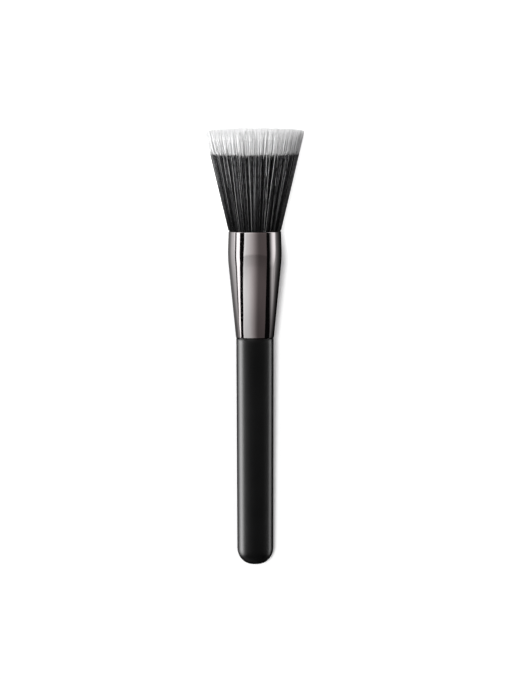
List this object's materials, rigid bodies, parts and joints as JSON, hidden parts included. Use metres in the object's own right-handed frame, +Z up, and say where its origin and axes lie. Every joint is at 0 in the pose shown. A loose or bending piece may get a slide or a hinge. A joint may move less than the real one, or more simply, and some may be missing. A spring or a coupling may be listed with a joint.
{
  "type": "stippling brush",
  "caption": "Short-handled stippling brush: black turned handle, gunmetal ferrule, flared flat-topped head of dark fibres with longer white tips.",
  "frame": {"origin": "on the table, under the middle of the brush's box as it lies at rest", "axes": "+Y along the brush towards the fibre head, +Z up from the table it lies on, +X to the right when the head points away. The brush's own axis rises 4.07 degrees towards the head, because the head is wider than the handle"},
  "size_m": [0.0362, 0.1651, 0.0363],
  "materials": {
    "black_lacquer": "satin black lacquer over turned wood",
    "gunmetal": "polished gunmetal anodising",
    "dark_fibre": "fine black synthetic fibre",
    "white_fibre": "fine white synthetic fibre",
    "clear_resin": "cured amber resin",
    "binding_thread": "waxed thread",
    "cured_glue": "cured glue"
  },
  "bodies": {
    "root": {"handle": "black_lacquer", "ferrule": "gunmetal", "dark_fibres": "dark_fibre", "white_fibres": "white_fibre", "resin_plug": "clear_resin", "knot_thread": "binding_thread", "glue_ring": "cured_glue", "glue_collar": "cured_glue"}
  },
  "joints": []
}
